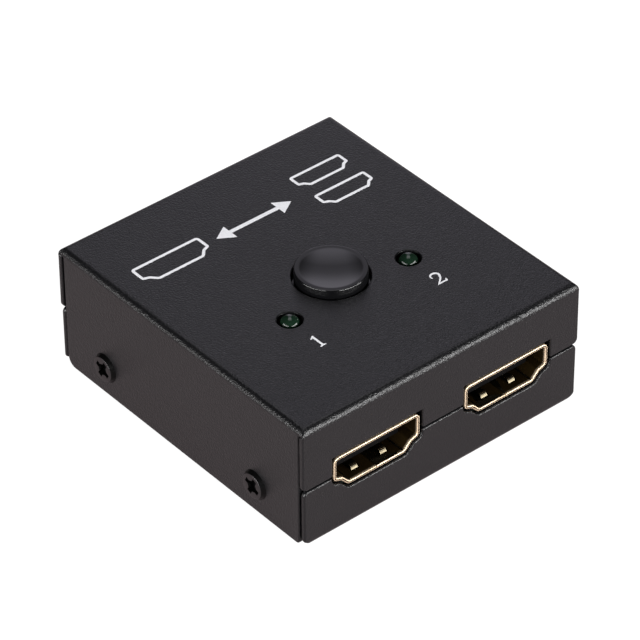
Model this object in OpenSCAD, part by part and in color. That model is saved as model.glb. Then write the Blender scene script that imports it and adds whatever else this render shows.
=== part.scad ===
// Two-way signal switch box in folded sheet steel: two receptacles in front, one behind,
// a latching push button on top and a lamp for each front receptacle.
// Millimetres, +Z up, front at -Y. The origin is on the underside, at the middle of the case.

/* [Case] */
// Outside width of the case
case_w = 48.6; // [46:0.2:64]
// Outside depth of the case, over the front and rear flanges
case_d = 52; // [50:0.5:80]
// Height from the tray's underside to the top face
case_h = 19.9; // [19:0.1:28]
// Thickness of the sheet steel
sheet = 0.8; // [0.6:0.1:1]
// Inner radius of the bends
bend_inner = 0.3; // [0.1:0.1:0.8]
// Rounding of the flanges' free corners
flange_corner = 0.8; // [0.3:0.1:1.2]
// Rounding of the side panels' rear lower corners
panel_corner = 1.5; // [0.5:0.1:2.5]
// Rounding of the side panels' front lower corners
panel_front_corner = 0.6; // [0.3:0.1:2.5]
// Slit between a side panel and the front flange
slit_front = 0.15; // [0.1:0.05:0.5]
// Slit between a side panel and the rear flange
slit_rear = 0.4; // [0.1:0.05:0.6]
// Gap between the cover's and the tray's flanges
seam_gap = 0.25; // [0.1:0.05:0.5]
// Height of the side panels' lower edge above the underside
panel_lift = 0.3; // [0.2:0.05:1]
// How far the tray's flanges stop short of the cover's sides
tray_inset = 0.2; // [0.1:0.05:0.8]
// Clearance between the tray's side walls and the side panels
tray_fit = 0.1; // [0.05:0.05:0.2]
// Height of the tray's side walls above the underside
wall_top = 9; // [8:0.5:12]
// How far the tray's side walls stop short of its front and rear flanges
wall_notch = 4.7; // [3:0.1:6]

/* [Case screws] */
// Thread diameter of the case screws
case_screw_d = 2.5; // [2:0.5:3]
// Length of the case screws under the head
case_screw_l = 3; // [2.5:0.5:4]
// Head diameter of the case screws
case_head_d = 4.5; // [4.2:0.1:5.5]
// Head height of the case screws
case_head_h = 0.55; // [0.5:0.05:1]
// Distance between the two screws of a side
case_screw_pitch = 32.2; // [24:0.2:34]
// Height of the case screws above the underside
case_screw_z = 4.9; // [4:0.1:5.5]
// Depth of the drawn collar that carries the thread in the tray's wall
collar_l = 1; // [0.5:0.1:1.2]
// Wall of that collar
collar_wall = 0.8; // [0.5:0.1:1]

/* [Board] */
// Thickness of the circuit board
board_t = 1.6; // [1:0.2:2]
// Gap between the board's ends and the tray's flanges
board_end_gap = 0.6; // [0.3:0.1:1.5]
// Gap between the board's sides and the tips of the case screws
board_side_gap = 0.5; // [0.3:0.1:1]
// Height of the standoffs above the tray's floor
standoff_h = 4.5; // [3.8:0.1:6]
// Diameter of the standoffs
standoff_d = 5; // [4.5:0.1:6]
// Diameter of the standoffs' clinched ends in the floor
clinch_d = 3.6; // [3.2:0.1:4]
// Thread diameter of the board screws
board_screw_d = 2.5; // [2:0.5:2.5]
// Length of the board screws under the head
board_screw_l = 5; // [4:0.5:5]
// Head diameter of the board screws
board_head_d = 4.5; // [4:0.1:5]
// Head height of the board screws
board_head_h = 1.7; // [1:0.1:2]
// Distance between the fixing holes, across
hole_pitch_x = 34; // [32:0.5:35]
// Gap between the front contacts' feet and the heads of the front board screws
front_head_gap = 0.95; // [0.3:0.05:1.5]
// Distance from the board's rear end to the rear fixing holes
rear_hole_inset = 5.6; // [4:0.1:8]

/* [Receptacles] */
// Distance between the two front receptacles
port_pitch = 22.9; // [21:0.1:24]
// Depth of the receptacles' rims behind the case's faces
port_recess = 0.2; // [0:0.05:0.6]
// Width of the mouth
mouth_w = 14; // [13.5:0.1:14.5]
// Height of the mouth
mouth_h = 4.55; // [4.3:0.05:5]
// Width at the shoulders
shoulder_w = 11.7; // [11:0.1:12.5]
// Width of the mouth's floor
mouth_floor_w = 9.5; // [9:0.1:10.5]
// Height of the straight sides' lower end above the mouth's floor
side_foot = 1.6; // [1.4:0.05:2]
// Height of the shoulders' inner end above the mouth's floor
shoulder_rise = 1.2; // [0.9:0.05:1.3]
// Wall of the shell
shell_wall = 0.45; // [0.3:0.05:0.5]
// Length of the shell
shell_l = 11.2; // [10:0.1:12]
// Gap between the shell and its cut-out, at the sides and below
cutout_gap = 0.35; // [0.2:0.05:0.6]
// Gap between the shell and its cut-out, above
cutout_top_gap = 0.5; // [0.2:0.05:0.8]
// Width of the shell's spring fingers
finger_w = 1.1; // [0.8:0.1:1.6]
// Distance between the two spring fingers of a wall
finger_pitch = 5; // [4:0.1:6]
// Width of the tongue
tongue_w = 11.2; // [10.8:0.1:11.4]
// Thickness of the tongue
tongue_t = 2; // [1.6:0.1:2.2]
// Depth of the tongue's tip behind the rim
tongue_setback = 2.2; // [1:0.1:3]
// Distance between the contacts of a row
contact_pitch = 1; // [0.9:0.05:1.1]
// Width of a contact
contact_w = 0.3; // [0.2:0.05:0.35]
// Thickness of a contact
contact_t = 0.15; // [0.1:0.05:0.2]

/* [Button] */
// How far the button lies behind the middle of the case
button_y = -2.95; // [-4:0.05:0]
// Diameter of the cap
cap_d = 10.2; // [9.6:0.1:11]
// Clearance round the cap in the top face
cap_play = 0.3; // [0.2:0.05:0.5]
// Height of the cap's rim above the top face
cap_proud = 1.3; // [1.2:0.05:2.5]
// Depth of the dish in the cap
cap_dish = 0.4; // [0.2:0.05:0.6]
// Rounding of the cap's rim
cap_edge = 0.35; // [0.2:0.05:0.6]
// Width of the flat ring between the dish and the rim
cap_ring = 0.35; // [0.1:0.05:0.6]
// Wall of the cap
cap_wall = 0.9; // [0.7:0.1:1]
// Thickness of the cap under the dish
cap_roof = 1.1; // [0.8:0.1:1.4]
// Overlap of the cap's lip under the top face
lip_overlap = 0.4; // [0.3:0.1:0.8]
// Thickness of the lip
lip_t = 0.8; // [0.6:0.1:1]
// Gap between the lip and the top sheet at rest
lip_gap = 0.25; // [0.1:0.05:0.4]
// Travel of the button
travel = 1.3; // [0.8:0.1:1.35]

/* [Push switch] */
// Width of the switch
switch_w = 8.5; // [8.2:0.1:9]
// Wall of the switch's housing
housing_wall = 0.65; // [0.5:0.05:0.8]
// Height of the housing above its base
housing_h = 6; // [5.8:0.1:6.6]
// Thickness of the housing's roof
housing_roof = 1; // [0.8:0.1:1.2]
// Thickness of the base
base_t = 1.2; // [1:0.1:1.6]
// Width of the neck on the housing
neck_w = 5.4; // [5:0.1:6]
// Height of the neck on the housing
neck_h = 1.2; // [0.6:0.1:1.4]
// Width of the square stem
stem_w = 3.3; // [3:0.1:3.6]
// Thickness of the plunger's head
head_t = 2; // [1.8:0.1:2.2]
// Wire of the return spring
spring_wire = 0.3; // [0.25:0.05:0.35]
// Outer diameter of the return spring
spring_d = 4; // [3.6:0.1:4.4]
// Turns of the return spring
spring_turns = 3; // [2.5:0.5:3]
// Wire of the latch pin
latch_wire = 0.5; // [0.4:0.05:0.5]

/* [Lamps] */
// Distance between the two lamps
lamp_pitch = 20.9; // [18:0.1:22]
// How far the lamps lie behind the middle of the case
lamp_y = -6.8; // [-8:0.1:-5]
// Diameter of a lamp
lamp_d = 2.9; // [2.7:0.1:3.2]
// Length of a lamp
lamp_l = 5.3; // [5:0.1:6]
// Clearance round a lamp in the top face
lamp_play = 0.3; // [0.2:0.05:0.5]
// Height of a lamp's dome above the top face
lamp_proud = 0.6; // [0:0.05:1]
// Diameter of a lamp's flange
lamp_flange_d = 3.8; // [3.5:0.1:4.2]
// Thickness of a lamp's flange
lamp_flange_t = 1; // [0.8:0.1:1.2]
// Distance between a lamp's two leads
lead_pitch = 2.54; // [2:0.02:2.6]
// Width of a square lead
lead_w = 0.5; // [0.4:0.05:0.6]

/* [Board parts] */
// Width of the signal switch chip
chip_w = 5; // [4:0.5:5]
// Height of the signal switch chip
chip_h = 0.9; // [0.7:0.1:1.2]
// Gap between a receptacle's contacts and its row of capacitors
capacitor_gap = 0.3; // [0.2:0.1:0.5]
// Gap between the capacitors and the surge arrays
array_gap = 0.3; // [0.2:0.1:0.5]
// Gap between the push switch and the signal switch chip
chip_gap = 0.6; // [0.4:0.1:1]

/* [Hidden] */
$fn = 48;
// Clearances that several fits share
thread_play = 0.03;
clearance_hole = 0.2;
seat_play = 0.02;
slide_play = 0.1;
pin_play = 0.1;
rest_gap = 0.05;
clinch_recess = 0.05;
cut = 1;

bend_r = bend_inner + sheet;
wall_face = case_w / 2 - sheet - tray_fit;
floor_half = wall_face - bend_r;
board_under = sheet + standoff_h;
board_top = board_under + board_t;
board_w = case_w - 2 * (case_screw_l + board_side_gap);
board_d = case_d - 2 * (sheet + board_end_gap);
shell_h = mouth_h + 2 * shell_wall;
seam_z = board_top + shell_h / 2;
pin_end = board_under - 1;

tongue_mid = shell_wall + mouth_h / 2;
block_y = shell_l / 2;
contact_tip = tongue_setback + 0.5;
contact_proud = 0.03;
tail_y = shell_l + 0.3;
foot_l = 1.1;
feet_end = tail_y + foot_l;
upper_contacts = 10;
lower_contacts = 9;
front_hole_y = port_recess + feet_end + front_head_gap + board_head_d / 2 - case_d / 2;
rear_hole_y = board_d / 2 - rear_hole_inset;

base_top = board_top + base_t;
housing_top = base_top + housing_h;
ceiling = housing_top - housing_roof;
neck_top = housing_top + neck_h;
cavity = switch_w / 2 - housing_wall;
head_top = ceiling - rest_gap;
head_under = head_top - head_t;
cap_top = case_h + cap_proud;
cap_under = cap_top - cap_dish - cap_roof;
lip_top = case_h - sheet - lip_gap;
boss_end = neck_top + travel + 0.3;
terminal_t = 0.25;
terminal_w = 0.9;
terminal_pitch = 2;
terminal_face = cavity - slide_play - terminal_t;
bridge_t = 0.25;
bridge_reach = 0.35;
head_half_x = terminal_face - rest_gap - bridge_reach - bridge_t;
head_half_y = cavity - latch_wire - 2 * pin_play;
latch_y = -cavity + pin_play + latch_wire / 2;
groove_depth = 0.5;
latch_tip_z = head_under + latch_wire;

lamp_under = case_h + lamp_proud - lamp_l;
chip_y = button_y + switch_w / 2 + chip_gap + chip_w / 2;
capacitor = [0.5, 1, 0.5];
surge_array = [2.5, 1, 0.55];
capacitor_row = feet_end + capacitor_gap + capacitor.y / 2;
array_row = capacitor_row + (capacitor.y + surge_array.y) / 2 + array_gap;

port_x = [-port_pitch / 2, port_pitch / 2, 0];
port_turn = [0, 0, 180];
lamp_x = [-lamp_pitch / 2, lamp_pitch / 2];

// Outlines

function unit(v) = v / norm(v);
function wrapped(a) = a > 180 ? a - 360 : a < -180 ? a + 360 : a;
function at(pts, i) = pts[(i + len(pts)) % len(pts)];

// The arc of radius r that rounds corner p between the directions a and b
function corner_arc(p, a, b, r, steps) =
  let (half = acos(a * b) / 2,
       c = p + unit(a + b) * r / sin(half),
       from = p + a * r / tan(half) - c,
       to = p + b * r / tan(half) - c,
       start = atan2(from.y, from.x),
       sweep = wrapped(atan2(to.y, to.x) - start))
  [for (k = [0 : steps]) c + r * [cos(start + sweep * k / steps), sin(start + sweep * k / steps)]];

// An outline with each corner rounded by its own radius
function rounded(pts, radii, steps = 6) = [
  for (i = [0 : len(pts) - 1])
    each radii[i] <= 0 ? [pts[i]]
      : corner_arc(pts[i], unit(at(pts, i - 1) - pts[i]), unit(at(pts, i + 1) - pts[i]), radii[i], steps)];

function outward(p, q) = let (d = unit(q - p)) [d.y, -d.x];

// A counterclockwise outline moved outward by d
function grown(pts, d) = [
  for (i = [0 : len(pts) - 1])
    let (a = outward(at(pts, i - 1), pts[i]), b = outward(pts[i], at(pts, i + 1)))
    pts[i] + d * (a + b) / (1 + a * b)];

function box_outline(half, low, high) = [[half, low], [half, high], [-half, high], [-half, low]];

// The receptacle's mouth in the plane of its rim, above the board
mouth = [for (p = [[mouth_floor_w / 2, 0], [shoulder_w / 2, shoulder_rise], [mouth_w / 2, side_foot],
                   [mouth_w / 2, mouth_h], [-mouth_w / 2, mouth_h], [-mouth_w / 2, side_foot],
                   [-shoulder_w / 2, shoulder_rise], [-mouth_floor_w / 2, 0]]) p + [0, shell_wall]];
floor_round = 0.6;
shoulder_round = 0.8;
side_round = 0.3;
roof_round = 0.45;

// The mouth's outline moved outward by d, with its corners rounded to match
function mouth_outline(d) =
  let (f = floor_round + d, w = shoulder_round - d, s = side_round + d, r = roof_round + d)
  rounded(grown(mouth, d), [f, w, s, r, r, s, w, f]);

// Helpers that place or extrude

module both_x() {
  children();
  mirror([1, 0, 0]) children();
}

module both_y() {
  children();
  mirror([0, 1, 0]) children();
}

// An outline in Y and Z, extruded along X
module across(x0, x1) {
  translate([x0, 0, 0]) rotate([90, 0, 90]) linear_extrude(x1 - x0) children();
}

// An outline in X and Z, extruded along Y
module along(y0, y1) {
  translate([0, y1, 0]) rotate([90, 0, 0]) linear_extrude(y1 - y0) children();
}

module block(low, high) {
  translate(low) cube(high - low);
}

// A quarter-round strip of sheet along X that turns from +Y to +Z
module bend_across(x0, x1) {
  translate([x0, 0, 0]) rotate([90, 0, 90]) rotate_extrude(angle = 90)
    translate([bend_inner, 0]) square([sheet, x1 - x0]);
}

// A quarter-round strip of sheet along Y that turns from +X to +Z
module bend_along(y0, y1) {
  translate([0, y1, 0]) rotate([90, 0, 0]) rotate_extrude(angle = 90)
    translate([bend_inner, 0]) square([sheet, y1 - y0]);
}

// The front view of a folded piece, whose bends end in round corners, as a bar along Y
module bar_with_corners(half, high, radii) {
  along(-case_d / 2, case_d / 2) polygon(rounded(box_outline(half, 0, high), radii));
}

// The four case screws' axes, each pointing out of the case
module at_case_screws() {
  for (y = [-1, 1] * case_screw_pitch / 2)
    both_x() translate([case_w / 2, y, case_screw_z]) rotate([0, 90, 0]) children();
}

module at_board_screws() {
  for (x = [-1, 1] * hole_pitch_x / 2, y = [front_hole_y, rear_hole_y]) translate([x, y, 0]) children();
}

// The middle of a receptacle's rim on the board, with the shell running towards +Y
module at_port(i) {
  turn = port_turn[i];
  translate([port_x[i], (turn == 0 ? -1 : 1) * (case_d / 2 - port_recess), board_top])
    rotate([0, 0, turn]) children();
}

// A cross recess in a screw head's top
module cross_recess(size, depth) {
  slot = size / 5;
  for (turn = [0, 90])
    rotate([0, 0, turn]) block([-size / 2, -slot / 2, -depth], [size / 2, slot / 2, cut]);
}

// A pan head screw along -Z, with its head's underside at the origin
module pan_screw(d, l, head_d, head_h) {
  edge = head_h / 2;
  difference() {
    union() {
      translate([0, 0, -l]) cylinder(d = d - 2 * thread_play, h = l);
      cylinder(d = head_d, h = head_h - edge);
      translate([0, 0, head_h - edge]) cylinder(d1 = head_d, d2 = head_d - 2 * edge, h = edge);
    }
    translate([0, 0, head_h]) cross_recess(0.55 * head_d, 0.6 * head_h);
  }
}

// Case

module port_cutouts_above() {
  half = mouth_w / 2 + shell_wall + cutout_gap;
  for (i = [0 : 2])
    at_port(i) along(-port_recess - cut, sheet + cut)
      polygon(box_outline(half, 0, shell_h + cutout_top_gap));
}

module port_cutouts_below() {
  for (i = [0 : 2])
    at_port(i) along(-port_recess - cut, sheet + cut) polygon(mouth_outline(shell_wall + cutout_gap));
}

module top_cover() {
  c = flange_corner;
  y0 = -case_d / 2 + sheet + slit_front;
  y1 = case_d / 2 - sheet - slit_rear;
  bend_z = case_h - bend_r;
  side = [[y0, panel_lift], [y1, panel_lift], [y1, bend_z], [y0, bend_z]];
  color("#37363a") difference() {
    union() {
      block([bend_r - case_w / 2, bend_r - case_d / 2, case_h - sheet],
            [case_w / 2 - bend_r, case_d / 2 - bend_r, case_h]);
      intersection() {
        both_y() translate([0, case_d / 2 - bend_r, bend_z]) bend_across(-case_w / 2, case_w / 2);
        bar_with_corners(case_w / 2, case_h, [0, bend_r, bend_r, 0]);
      }
      both_y() along(case_d / 2 - sheet, case_d / 2)
        polygon(rounded(box_outline(case_w / 2, seam_z + seam_gap / 2, bend_z), [c, 0, 0, c]));
      both_x() translate([case_w / 2 - bend_r, 0, bend_z]) bend_along(y0, y1);
      both_x() across(case_w / 2 - sheet, case_w / 2)
        polygon(rounded(side, [panel_front_corner, panel_corner, 0, 0]));
    }
    port_cutouts_above();
    at_case_screws() translate([0, 0, -sheet - tray_fit / 2])
      cylinder(d = case_screw_d + 2 * clearance_hole, h = sheet + cut);
    translate([0, button_y, case_h - sheet - cut]) cylinder(d = cap_d + 2 * cap_play, h = sheet + 2 * cut);
    for (x = lamp_x)
      translate([x, lamp_y, case_h - sheet - cut]) cylinder(d = lamp_d + 2 * lamp_play, h = sheet + 2 * cut);
  }
}

module bottom_tray() {
  c = flange_corner;
  flange_half = case_w / 2 - tray_inset;
  wall_y = case_d / 2 - sheet - wall_notch;
  bend_y = case_d / 2 - bend_r;
  side = [[-wall_y, bend_r], [wall_y, bend_r], [wall_y, wall_top], [-wall_y, wall_top]];
  collar_h = sheet + collar_l;
  color("#343337") difference() {
    union() {
      block([-floor_half, -bend_y, 0], [floor_half, bend_y, sheet]);
      both_y() block([bend_r - flange_half, wall_y + sheet, 0], [flange_half - bend_r, bend_y, sheet]);
      intersection() {
        both_y() translate([0, bend_y, bend_r]) mirror([0, 0, 1]) bend_across(-flange_half, flange_half);
        bar_with_corners(flange_half, seam_z, [bend_r, 0, 0, bend_r]);
      }
      both_y() along(case_d / 2 - sheet, case_d / 2)
        polygon(rounded(box_outline(flange_half, bend_r, seam_z - seam_gap / 2), [0, c, c, 0]));
      both_x() translate([floor_half, 0, bend_r]) mirror([0, 0, 1]) bend_along(-wall_y, wall_y);
      both_x() across(wall_face - sheet, wall_face) polygon(rounded(side, [0, 0, c, c]));
      at_case_screws() translate([0, 0, wall_face - case_w / 2 - collar_h])
        cylinder(d = case_screw_d + 2 * collar_wall, h = collar_l + sheet / 2);
    }
    port_cutouts_below();
    both_x() block([wall_face, sheet - case_d / 2, -cut], [case_w / 2 + cut, case_d / 2 - sheet, seam_z]);
    at_case_screws() translate([0, 0, wall_face - case_w / 2 - collar_h - cut])
      cylinder(d = case_screw_d, h = collar_h + 2 * cut);
    at_board_screws() translate([0, 0, -cut]) cylinder(d = clinch_d + 2 * seat_play, h = sheet + 2 * cut);
  }
}

module cover_screws() {
  color("#1c1b1d") at_case_screws() pan_screw(case_screw_d, case_screw_l, case_head_d, case_head_h);
}

// Board

module circuit_board() {
  slot = 1 + 2 * clearance_hole;
  color("#181c1a") difference() {
    block([-board_w / 2, -board_d / 2, board_under], [board_w / 2, board_d / 2, board_top]);
    translate([0, 0, board_under - cut]) {
      at_board_screws() cylinder(d = board_screw_d + 2 * clearance_hole, h = board_t + 2 * cut);
      for (x = lamp_x, s = [-1, 1])
        translate([x + s * lead_pitch / 2, lamp_y, 0])
          cylinder(d = lead_w * sqrt(2) + 2 * pin_play, h = board_t + 2 * cut);
      at_terminals() cylinder(d = terminal_w + 2 * pin_play, h = board_t + 2 * cut);
    }
    for (i = [0 : 2])
      at_port(i) at_legs()
        block([-shell_wall - clearance_hole, -slot / 2, -board_t - cut], [clearance_hole, slot / 2, cut]);
  }
}

module board_standoffs() {
  bore_l = board_screw_l - board_t + 0.5;
  color("#b9b4a4") at_board_screws() difference() {
    union() {
      translate([0, 0, clinch_recess]) cylinder(d = clinch_d, h = sheet);
      translate([0, 0, sheet]) cylinder(d = standoff_d, h = standoff_h);
    }
    translate([0, 0, board_under - bore_l]) cylinder(d = board_screw_d, h = bore_l + cut);
  }
}

module board_screws() {
  color("#c4c4c8") at_board_screws() translate([0, 0, board_top])
    pan_screw(board_screw_d, board_screw_l, board_head_d, board_head_h);
}

// Receptacles

// The places where a shell's legs leave its sides, at the sides' outer faces
module at_legs() {
  for (y = [3, 8.5])
    both_x() translate([mouth_w / 2 + shell_wall, y, 0]) children();
}

// The side view of a spring finger, from its root in the wall to its free tip
finger_root = 5.4;
finger_crest = 2;
finger_flat = 0.45;
finger_rise = 0.45;
nose_run = 0.45;
nose_drop = 0.6;
leaf = 0.25;
crest_top = shell_wall + finger_rise;
finger_line = [[finger_root, shell_wall], [finger_crest + finger_flat, crest_top], [finger_crest, crest_top],
  [finger_crest - nose_run, crest_top - nose_drop]];
finger_outline = concat(finger_line, [for (k = [3 : -1 : 0]) finger_line[k] - [0, leaf]]);
window_front = 1.35;
window_play = 0.15;

module spring_fingers() {
  for (x = [-1, 1] * finger_pitch / 2)
    across(x - finger_w / 2, x + finger_w / 2) polygon(finger_outline);
}

module finger_windows() {
  half = finger_w / 2 + window_play;
  for (x = [-1, 1] * finger_pitch / 2)
    block([x - half, window_front, -cut], [x + half, finger_root - leaf, shell_wall + leaf]);
}

// Turns what belongs to the mouth's floor over to its roof
module on_roof() {
  translate([0, 0, shell_h]) mirror([0, 0, 1]) children();
}

module port_shell(i) {
  seam_w = 0.12;
  leg_l = board_t + 0.7;
  color("#e3c27a") at_port(i) union() {
    difference() {
      along(0, shell_l) polygon(mouth_outline(shell_wall));
      along(-cut, shell_l + cut) polygon(mouth_outline(0));
      finger_windows();
      on_roof() finger_windows();
      block([-seam_w / 2, -cut, -cut], [seam_w / 2, shell_l + cut, shell_wall + cut / 4]);
    }
    spring_fingers();
    on_roof() spring_fingers();
    at_legs() block([-shell_wall, -0.5, -leg_l], [0, 0.5, shell_wall + side_foot + shell_wall]);
  }
}

// The slots of one row of contacts, grown by play, and the row itself
module at_contacts(count) {
  for (k = [0 : count - 1]) translate([(k - (count - 1) / 2) * contact_pitch, 0, 0]) children();
}

// A row's strip lies in the tongue's face at height z, and is proud of it by contact_proud
function strip_low(upper) =
  upper ? tongue_mid + tongue_t / 2 + contact_proud - contact_t : tongue_mid - tongue_t / 2 - contact_proud;

module contact_slots(upper) {
  low = strip_low(upper);
  half = contact_w / 2 + seat_play;
  at_contacts(upper ? upper_contacts : lower_contacts)
    block([-half, contact_tip - seat_play, low - seat_play],
          [half, shell_l + cut, low + contact_t + seat_play]);
}

module contact_row(upper) {
  low = strip_low(upper);
  high = low + contact_t;
  at_contacts(upper ? upper_contacts : lower_contacts) across(-contact_w / 2, contact_w / 2)
    polygon([[contact_tip, low], [tail_y, low], [tail_y, 0], [tail_y + foot_l, 0],
             [tail_y + foot_l, contact_t], [tail_y + contact_t, contact_t], [tail_y + contact_t, high],
             [contact_tip, high]]);
}

module port_insulator(i) {
  color("#18181a") at_port(i) difference() {
    union() {
      along(block_y, shell_l) polygon(mouth_outline(-rest_gap));
      block([-tongue_w / 2, tongue_setback, tongue_mid - tongue_t / 2],
            [tongue_w / 2, block_y + rest_gap, tongue_mid + tongue_t / 2]);
    }
    contact_slots(true);
    contact_slots(false);
  }
}

module port_contacts(i) {
  color("#d8b566") at_port(i) {
    contact_row(true);
    contact_row(false);
  }
}

// Button and push switch

// The cap's outer half section: dish, flat ring, rounded rim, side and lip
rim_r = cap_d / 2 - cap_edge;
dish_half = rim_r - cap_ring;
dish_r = (dish_half * dish_half + cap_dish * cap_dish) / (2 * cap_dish);
dish_steps = 10;
edge_steps = 8;
cap_section = concat(
  [for (k = [0 : dish_steps]) let (r = dish_half * k / dish_steps)
    [r, cap_top - cap_dish + dish_r - sqrt(dish_r * dish_r - r * r)]],
  [for (k = [0 : edge_steps]) let (a = 90 * (1 - k / edge_steps))
    [rim_r + cap_edge * cos(a), cap_top - cap_edge + cap_edge * sin(a)]],
  [[cap_d / 2, lip_top], [cap_d / 2 + cap_play + lip_overlap, lip_top],
   [cap_d / 2 + cap_play + lip_overlap, lip_top - lip_t], [0, lip_top - lip_t]]);

module button_cap() {
  boss_d = stem_w * sqrt(2) + 1.2;
  socket = stem_w / 2 + seat_play;
  color("#1d1c1f") translate([0, button_y, 0]) difference() {
    union() {
      difference() {
        rotate_extrude() polygon(cap_section);
        translate([0, 0, lip_top - lip_t - cut])
          cylinder(d = cap_d - 2 * cap_wall, h = cap_under - lip_top + lip_t + cut);
      }
      translate([0, 0, boss_end]) cylinder(d = boss_d, h = cap_under - boss_end + rest_gap);
    }
    block([-socket, -socket, boss_end - cut], [socket, socket, cap_under]);
  }
}

module at_terminals() {
  for (k = [-1 : 1])
    translate([0, button_y, 0]) both_x() translate([terminal_face + terminal_t / 2, k * terminal_pitch, 0])
      children();
}

module switch_base() {
  half = switch_w / 2;
  post_d = spring_d - 2 * spring_wire - 0.6;
  post_h = 1.2;
  slot = [terminal_t / 2 + rest_gap, terminal_w / 2 + rest_gap];
  color("#202022") difference() {
    translate([0, button_y, 0]) union() {
      block([-half, -half, board_top], [half, half, base_top]);
      translate([0, 0, board_top]) cylinder(d = post_d, h = base_t + post_h);
    }
    at_terminals() block([-slot.x, -slot.y, board_top - cut], [slot.x, slot.y, base_top + cut]);
    translate([0, button_y + latch_y, board_top + base_t / 2])
      cylinder(d = latch_wire + 2 * rest_gap, h = base_t);
  }
}

module switch_housing() {
  half = switch_w / 2;
  hole = stem_w / 2 + slide_play;
  color("#2b2b2e") translate([0, button_y, 0]) difference() {
    union() {
      block([-half, -half, base_top], [half, half, housing_top]);
      block([-neck_w / 2, -neck_w / 2, housing_top - housing_roof], [neck_w / 2, neck_w / 2, neck_top]);
    }
    block([-cavity, -cavity, base_top - cut], [cavity, cavity, ceiling]);
    block([-hole, -hole, ceiling - cut], [hole, hole, neck_top + cut]);
  }
}

module switch_plunger() {
  groove = latch_wire / 2 + pin_play;
  color("#e7e2d6") translate([0, button_y, 0]) difference() {
    union() {
      block([-head_half_x, -head_half_y, head_under], [head_half_x, head_half_y, head_top]);
      block([-stem_w / 2, -stem_w / 2, head_top - rest_gap], [stem_w / 2, stem_w / 2, cap_under - rest_gap]);
    }
    block([-groove, -head_half_y - cut, head_under - cut],
          [groove, groove_depth - head_half_y, head_top + cut]);
  }
}

// The spring's wire runs round the base's post, from the base to the plunger's head
spring_low = base_top + spring_wire / 2 + seat_play;
spring_high = head_under - spring_wire / 2 - seat_play;
coil_r = (spring_d - spring_wire) / 2;
wire_sides = 6;
wire_rings = round(8 * spring_turns);
function coil_point(t) = [coil_r * cos(360 * spring_turns * t), coil_r * sin(360 * spring_turns * t),
  spring_low + t * (spring_high - spring_low)];
// The ring of the wire at t of its length, square to the wire
function wire_ring(t) =
  let (turn = 360 * spring_turns * t,
       climb = (spring_high - spring_low) / (spring_turns * 2 * PI),
       out = [cos(turn), sin(turn), 0],
       forward = unit([-coil_r * sin(turn), coil_r * cos(turn), climb]),
       up = cross(out, forward))
  [for (j = [0 : wire_sides - 1])
    coil_point(t) + spring_wire / 2 * (cos(360 * j / wire_sides) * out + sin(360 * j / wire_sides) * up)];
turn_rings = wire_rings / spring_turns;
least_gap = min([for (k = [0 : wire_rings - turn_rings])
  norm(coil_point((k + turn_rings) / wire_rings) - coil_point(k / wire_rings))]) - spring_wire;
echo(spring_turns_least_gap = least_gap);

module switch_spring() {
  last = wire_rings * wire_sides;
  n = wire_sides;
  sides = [for (k = [0 : wire_rings - 1], j = [0 : n - 1])
    let (a = k * n + j, b = k * n + (j + 1) % n) each [[a, a + n, b], [b, a + n, b + n]]];
  ends = [for (j = [1 : n - 2]) each [[0, j, j + 1], [last, last + j + 1, last + j]]];
  color("#b8b8bc") translate([0, button_y, 0])
    polyhedron([for (k = [0 : wire_rings]) each wire_ring(k / wire_rings)], concat(sides, ends));
}

// Sliding clips on the plunger's sides, with a ridge for each terminal
module switch_bridges() {
  inset = 0.2;
  half = terminal_pitch + terminal_w / 2 - inset / 2;
  color("#c8923f") translate([0, button_y, 0]) both_x() union() {
    block([head_half_x, -half, head_under + inset], [head_half_x + bridge_t, half, head_top - inset]);
    for (k = [-1 : 1])
      translate([head_half_x, k * terminal_pitch, 0])
        block([0, -inset, head_under + 2 * inset], [bridge_t + bridge_reach, inset, head_top - 2 * inset]);
  }
}

// The blades stand at the cavity's walls, and the last of each row only meets its clip when pressed
module switch_terminals() {
  color("#cfcabb") translate([0, button_y, 0]) both_x() for (k = [-1 : 1])
    block([terminal_face, k * terminal_pitch - terminal_w / 2, pin_end],
          [terminal_face + terminal_t, k * terminal_pitch + terminal_w / 2,
           k < 1 ? head_top - rest_gap : head_under]);
}

module switch_latch_pin() {
  foot = board_top + base_t / 2 + rest_gap;
  color("#c9c9cd") translate([0, button_y + latch_y, 0]) union() {
    translate([0, 0, foot]) cylinder(d = latch_wire, h = latch_tip_z - foot);
    translate([0, 0, latch_tip_z]) sphere(d = latch_wire);
    translate([0, 0, latch_tip_z]) rotate([-90, 0, 0])
      cylinder(d = latch_wire, h = latch_wire / 2 + groove_depth);
  }
}

// Lamps

module lamp_lens(x) {
  r = lamp_d / 2;
  key = lamp_flange_d / 2 - 0.3;
  color("#1f8f3c") translate([x, lamp_y, lamp_under]) difference() {
    union() {
      cylinder(d = lamp_flange_d, h = lamp_flange_t);
      cylinder(r = r, h = lamp_l - r);
      translate([0, 0, lamp_l - r]) sphere(r = r);
    }
    block([key, -lamp_d, -cut], [lamp_d, lamp_d, lamp_flange_t]);
  }
}

module lamp_leads(x) {
  color("#c9c9cd") translate([x, lamp_y, 0]) for (s = [-1, 1])
    translate([s * lead_pitch / 2, 0, 0])
      block([-lead_w / 2, -lead_w / 2, pin_end], [lead_w / 2, lead_w / 2, lamp_under]);
}

// Board parts

// A small part's body, standing on the board at the origin
module standing(size) {
  block([-size.x / 2, -size.y / 2, 0], [size.x / 2, size.y / 2, size.z]);
}

module signal_switch_chip() {
  edge = 0.1;
  half = chip_w / 2;
  color("#1b1b1d") translate([0, chip_y, board_top]) difference() {
    block([-half, -half, 0], [half, half, chip_h]);
    translate([-half + 0.8, half - 0.8, chip_h - edge]) cylinder(d = 0.6, h = cut);
  }
}

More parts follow.
